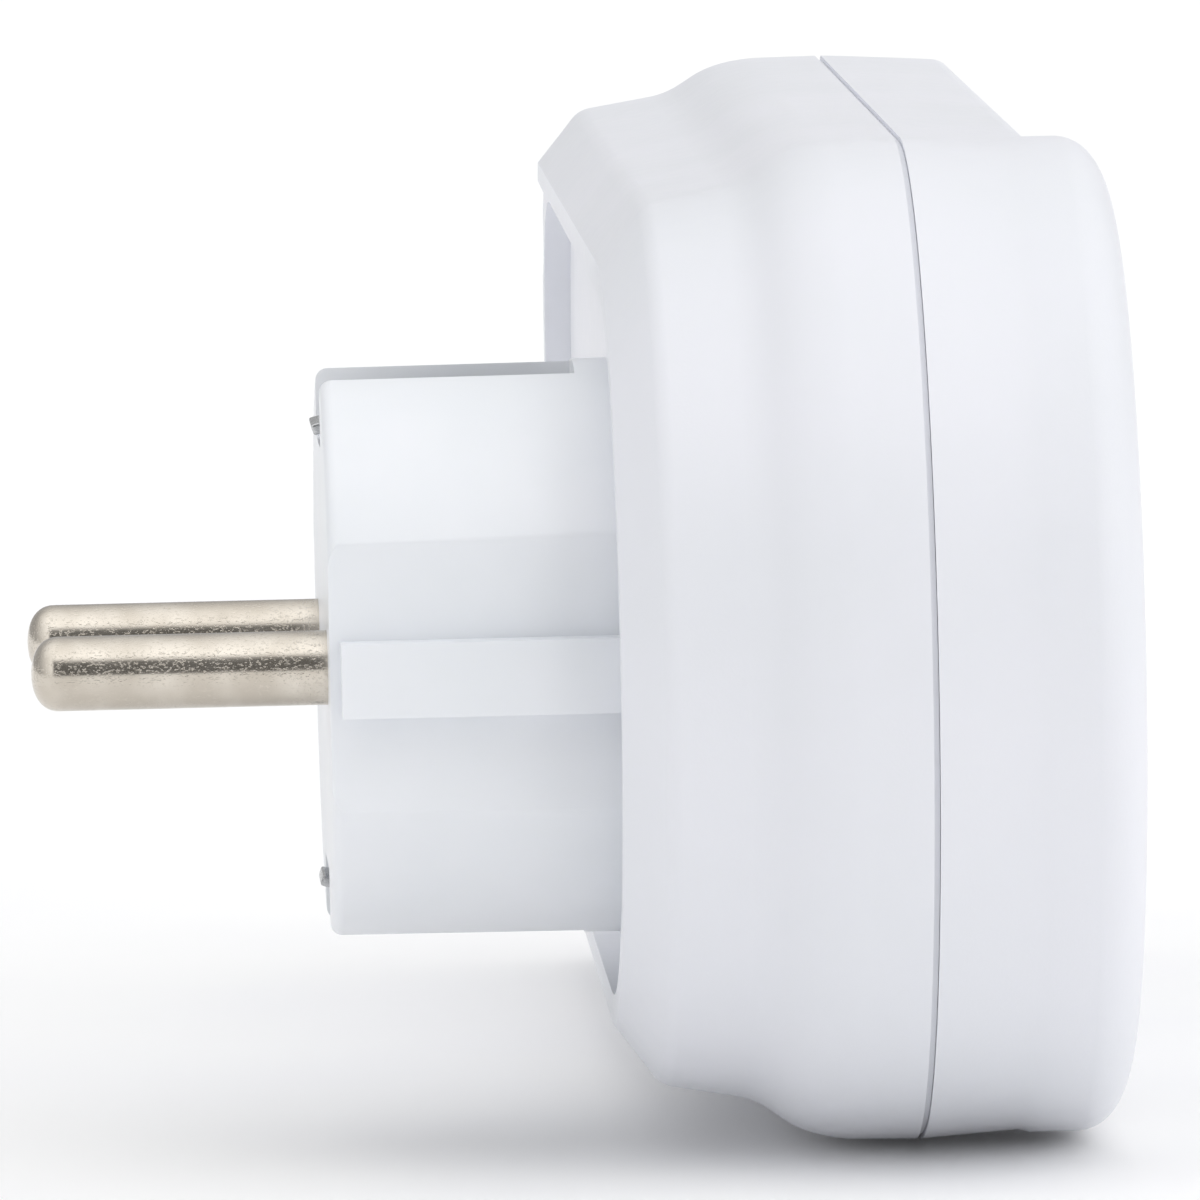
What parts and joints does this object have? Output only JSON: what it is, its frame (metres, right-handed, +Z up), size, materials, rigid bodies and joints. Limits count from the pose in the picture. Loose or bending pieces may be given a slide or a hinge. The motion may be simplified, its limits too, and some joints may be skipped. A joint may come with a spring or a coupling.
{
  "type": "plug-in power meter",
  "caption": "Landscape plug-in power meter with a socket at its round end, a display and keys at the other end, and a round plug with pins behind.",
  "frame": {"origin": "centre of the plug's end face, on the plug's axis between the two pins", "axes": "-Y is the front, with the socket, display and keys; +Y is along the pins towards the wall; +X runs from the round socket end to the display end; +Z is up"},
  "size_m": [0.1325, 0.0704, 0.065],
  "materials": {
    "shell_plastic": "fine moulded texture, white",
    "plug_plastic": "smooth moulded, cool white",
    "inner_plastic": "moulded, off white",
    "nickel": "nickel-plated, satin",
    "spring_steel": "satin",
    "brass": "satin",
    "copper": "bare strip",
    "board": "solder mask",
    "black_plastic": "moulded",
    "window": "clear, polished",
    "display_glass": "polarised display glass",
    "key_plastic": "grey, moulded",
    "rubber": "conductive strip",
    "capacitor_yellow": "moulded case",
    "varistor_blue": "dipped epoxy"
  },
  "bodies": {
    "housing": {"rear_shell": "shell_plastic", "front_shell": "shell_plastic", "plug_body": "plug_plastic", "line_pin": "nickel", "neutral_pin": "nickel", "earth_strip_top": "spring_steel", "earth_strip_bottom": "spring_steel", "earth_bridge": "copper", "socket_cup": "shell_plastic", "shutter_spring": "spring_steel", "contact_carrier": "inner_plastic", "line_sleeve": "brass", "neutral_sleeve": "brass", "line_strap": "copper", "neutral_strap": "copper", "display_window": "window", "lcd_glass": "display_glass", "lcd_frame": "inner_plastic", "contact_strip_upper": "rubber", "contact_strip_lower": "rubber", "key_switch_1": "black_plastic", "key_switch_2": "black_plastic", "key_switch_3": "black_plastic", "key_switch_4": "black_plastic", "display_board": "board", "power_board": "board", "film_capacitor": "capacitor_yellow", "current_shunt": "copper", "varistor": "varistor_blue", "storage_capacitor": "black_plastic", "metering_chip": "black_plastic", "controller_chip": "black_plastic", "crystal": "spring_steel", "backup_cell": "spring_steel", "board_link": "black_plastic", "screw_1": "spring_steel", "screw_2": "spring_steel", "screw_3": "spring_steel", "screw_4": "spring_steel"},
    "shutter": {"socket_shutter": "inner_plastic"},
    "first_key": {"key_1": "key_plastic"},
    "second_key": {"key_2": "key_plastic"},
    "third_key": {"key_3": "key_plastic"},
    "fourth_key": {"key_4": "key_plastic"}
  },
  "joints": [
    {"name": "shutter_turn", "type": "hinge", "parent": "housing", "child": "shutter", "pos_m": [0, -0.0305, 0], "axis": [0, 1, 0], "range_deg": [0, 42], "stiffness_Nm_per_rad": 0.0006, "springref_deg": -8.59},
    {"name": "key_1_press", "type": "slide", "parent": "housing", "child": "first_key", "axis": [0, 1, 0], "range_m": [0, 0.0005], "stiffness_N_per_m": 300, "springref_m": -0.0005},
    {"name": "key_2_press", "type": "slide", "parent": "housing", "child": "second_key", "axis": [0, 1, 0], "range_m": [0, 0.0005], "stiffness_N_per_m": 300, "springref_m": -0.0005},
    {"name": "key_3_press", "type": "slide", "parent": "housing", "child": "third_key", "axis": [0, 1, 0], "range_m": [0, 0.0005], "stiffness_N_per_m": 300, "springref_m": -0.0005},
    {"name": "key_4_press", "type": "slide", "parent": "housing", "child": "fourth_key", "axis": [0, 1, 0], "range_m": [0, 0.0005], "stiffness_N_per_m": 300, "springref_m": -0.0005}
  ]
}
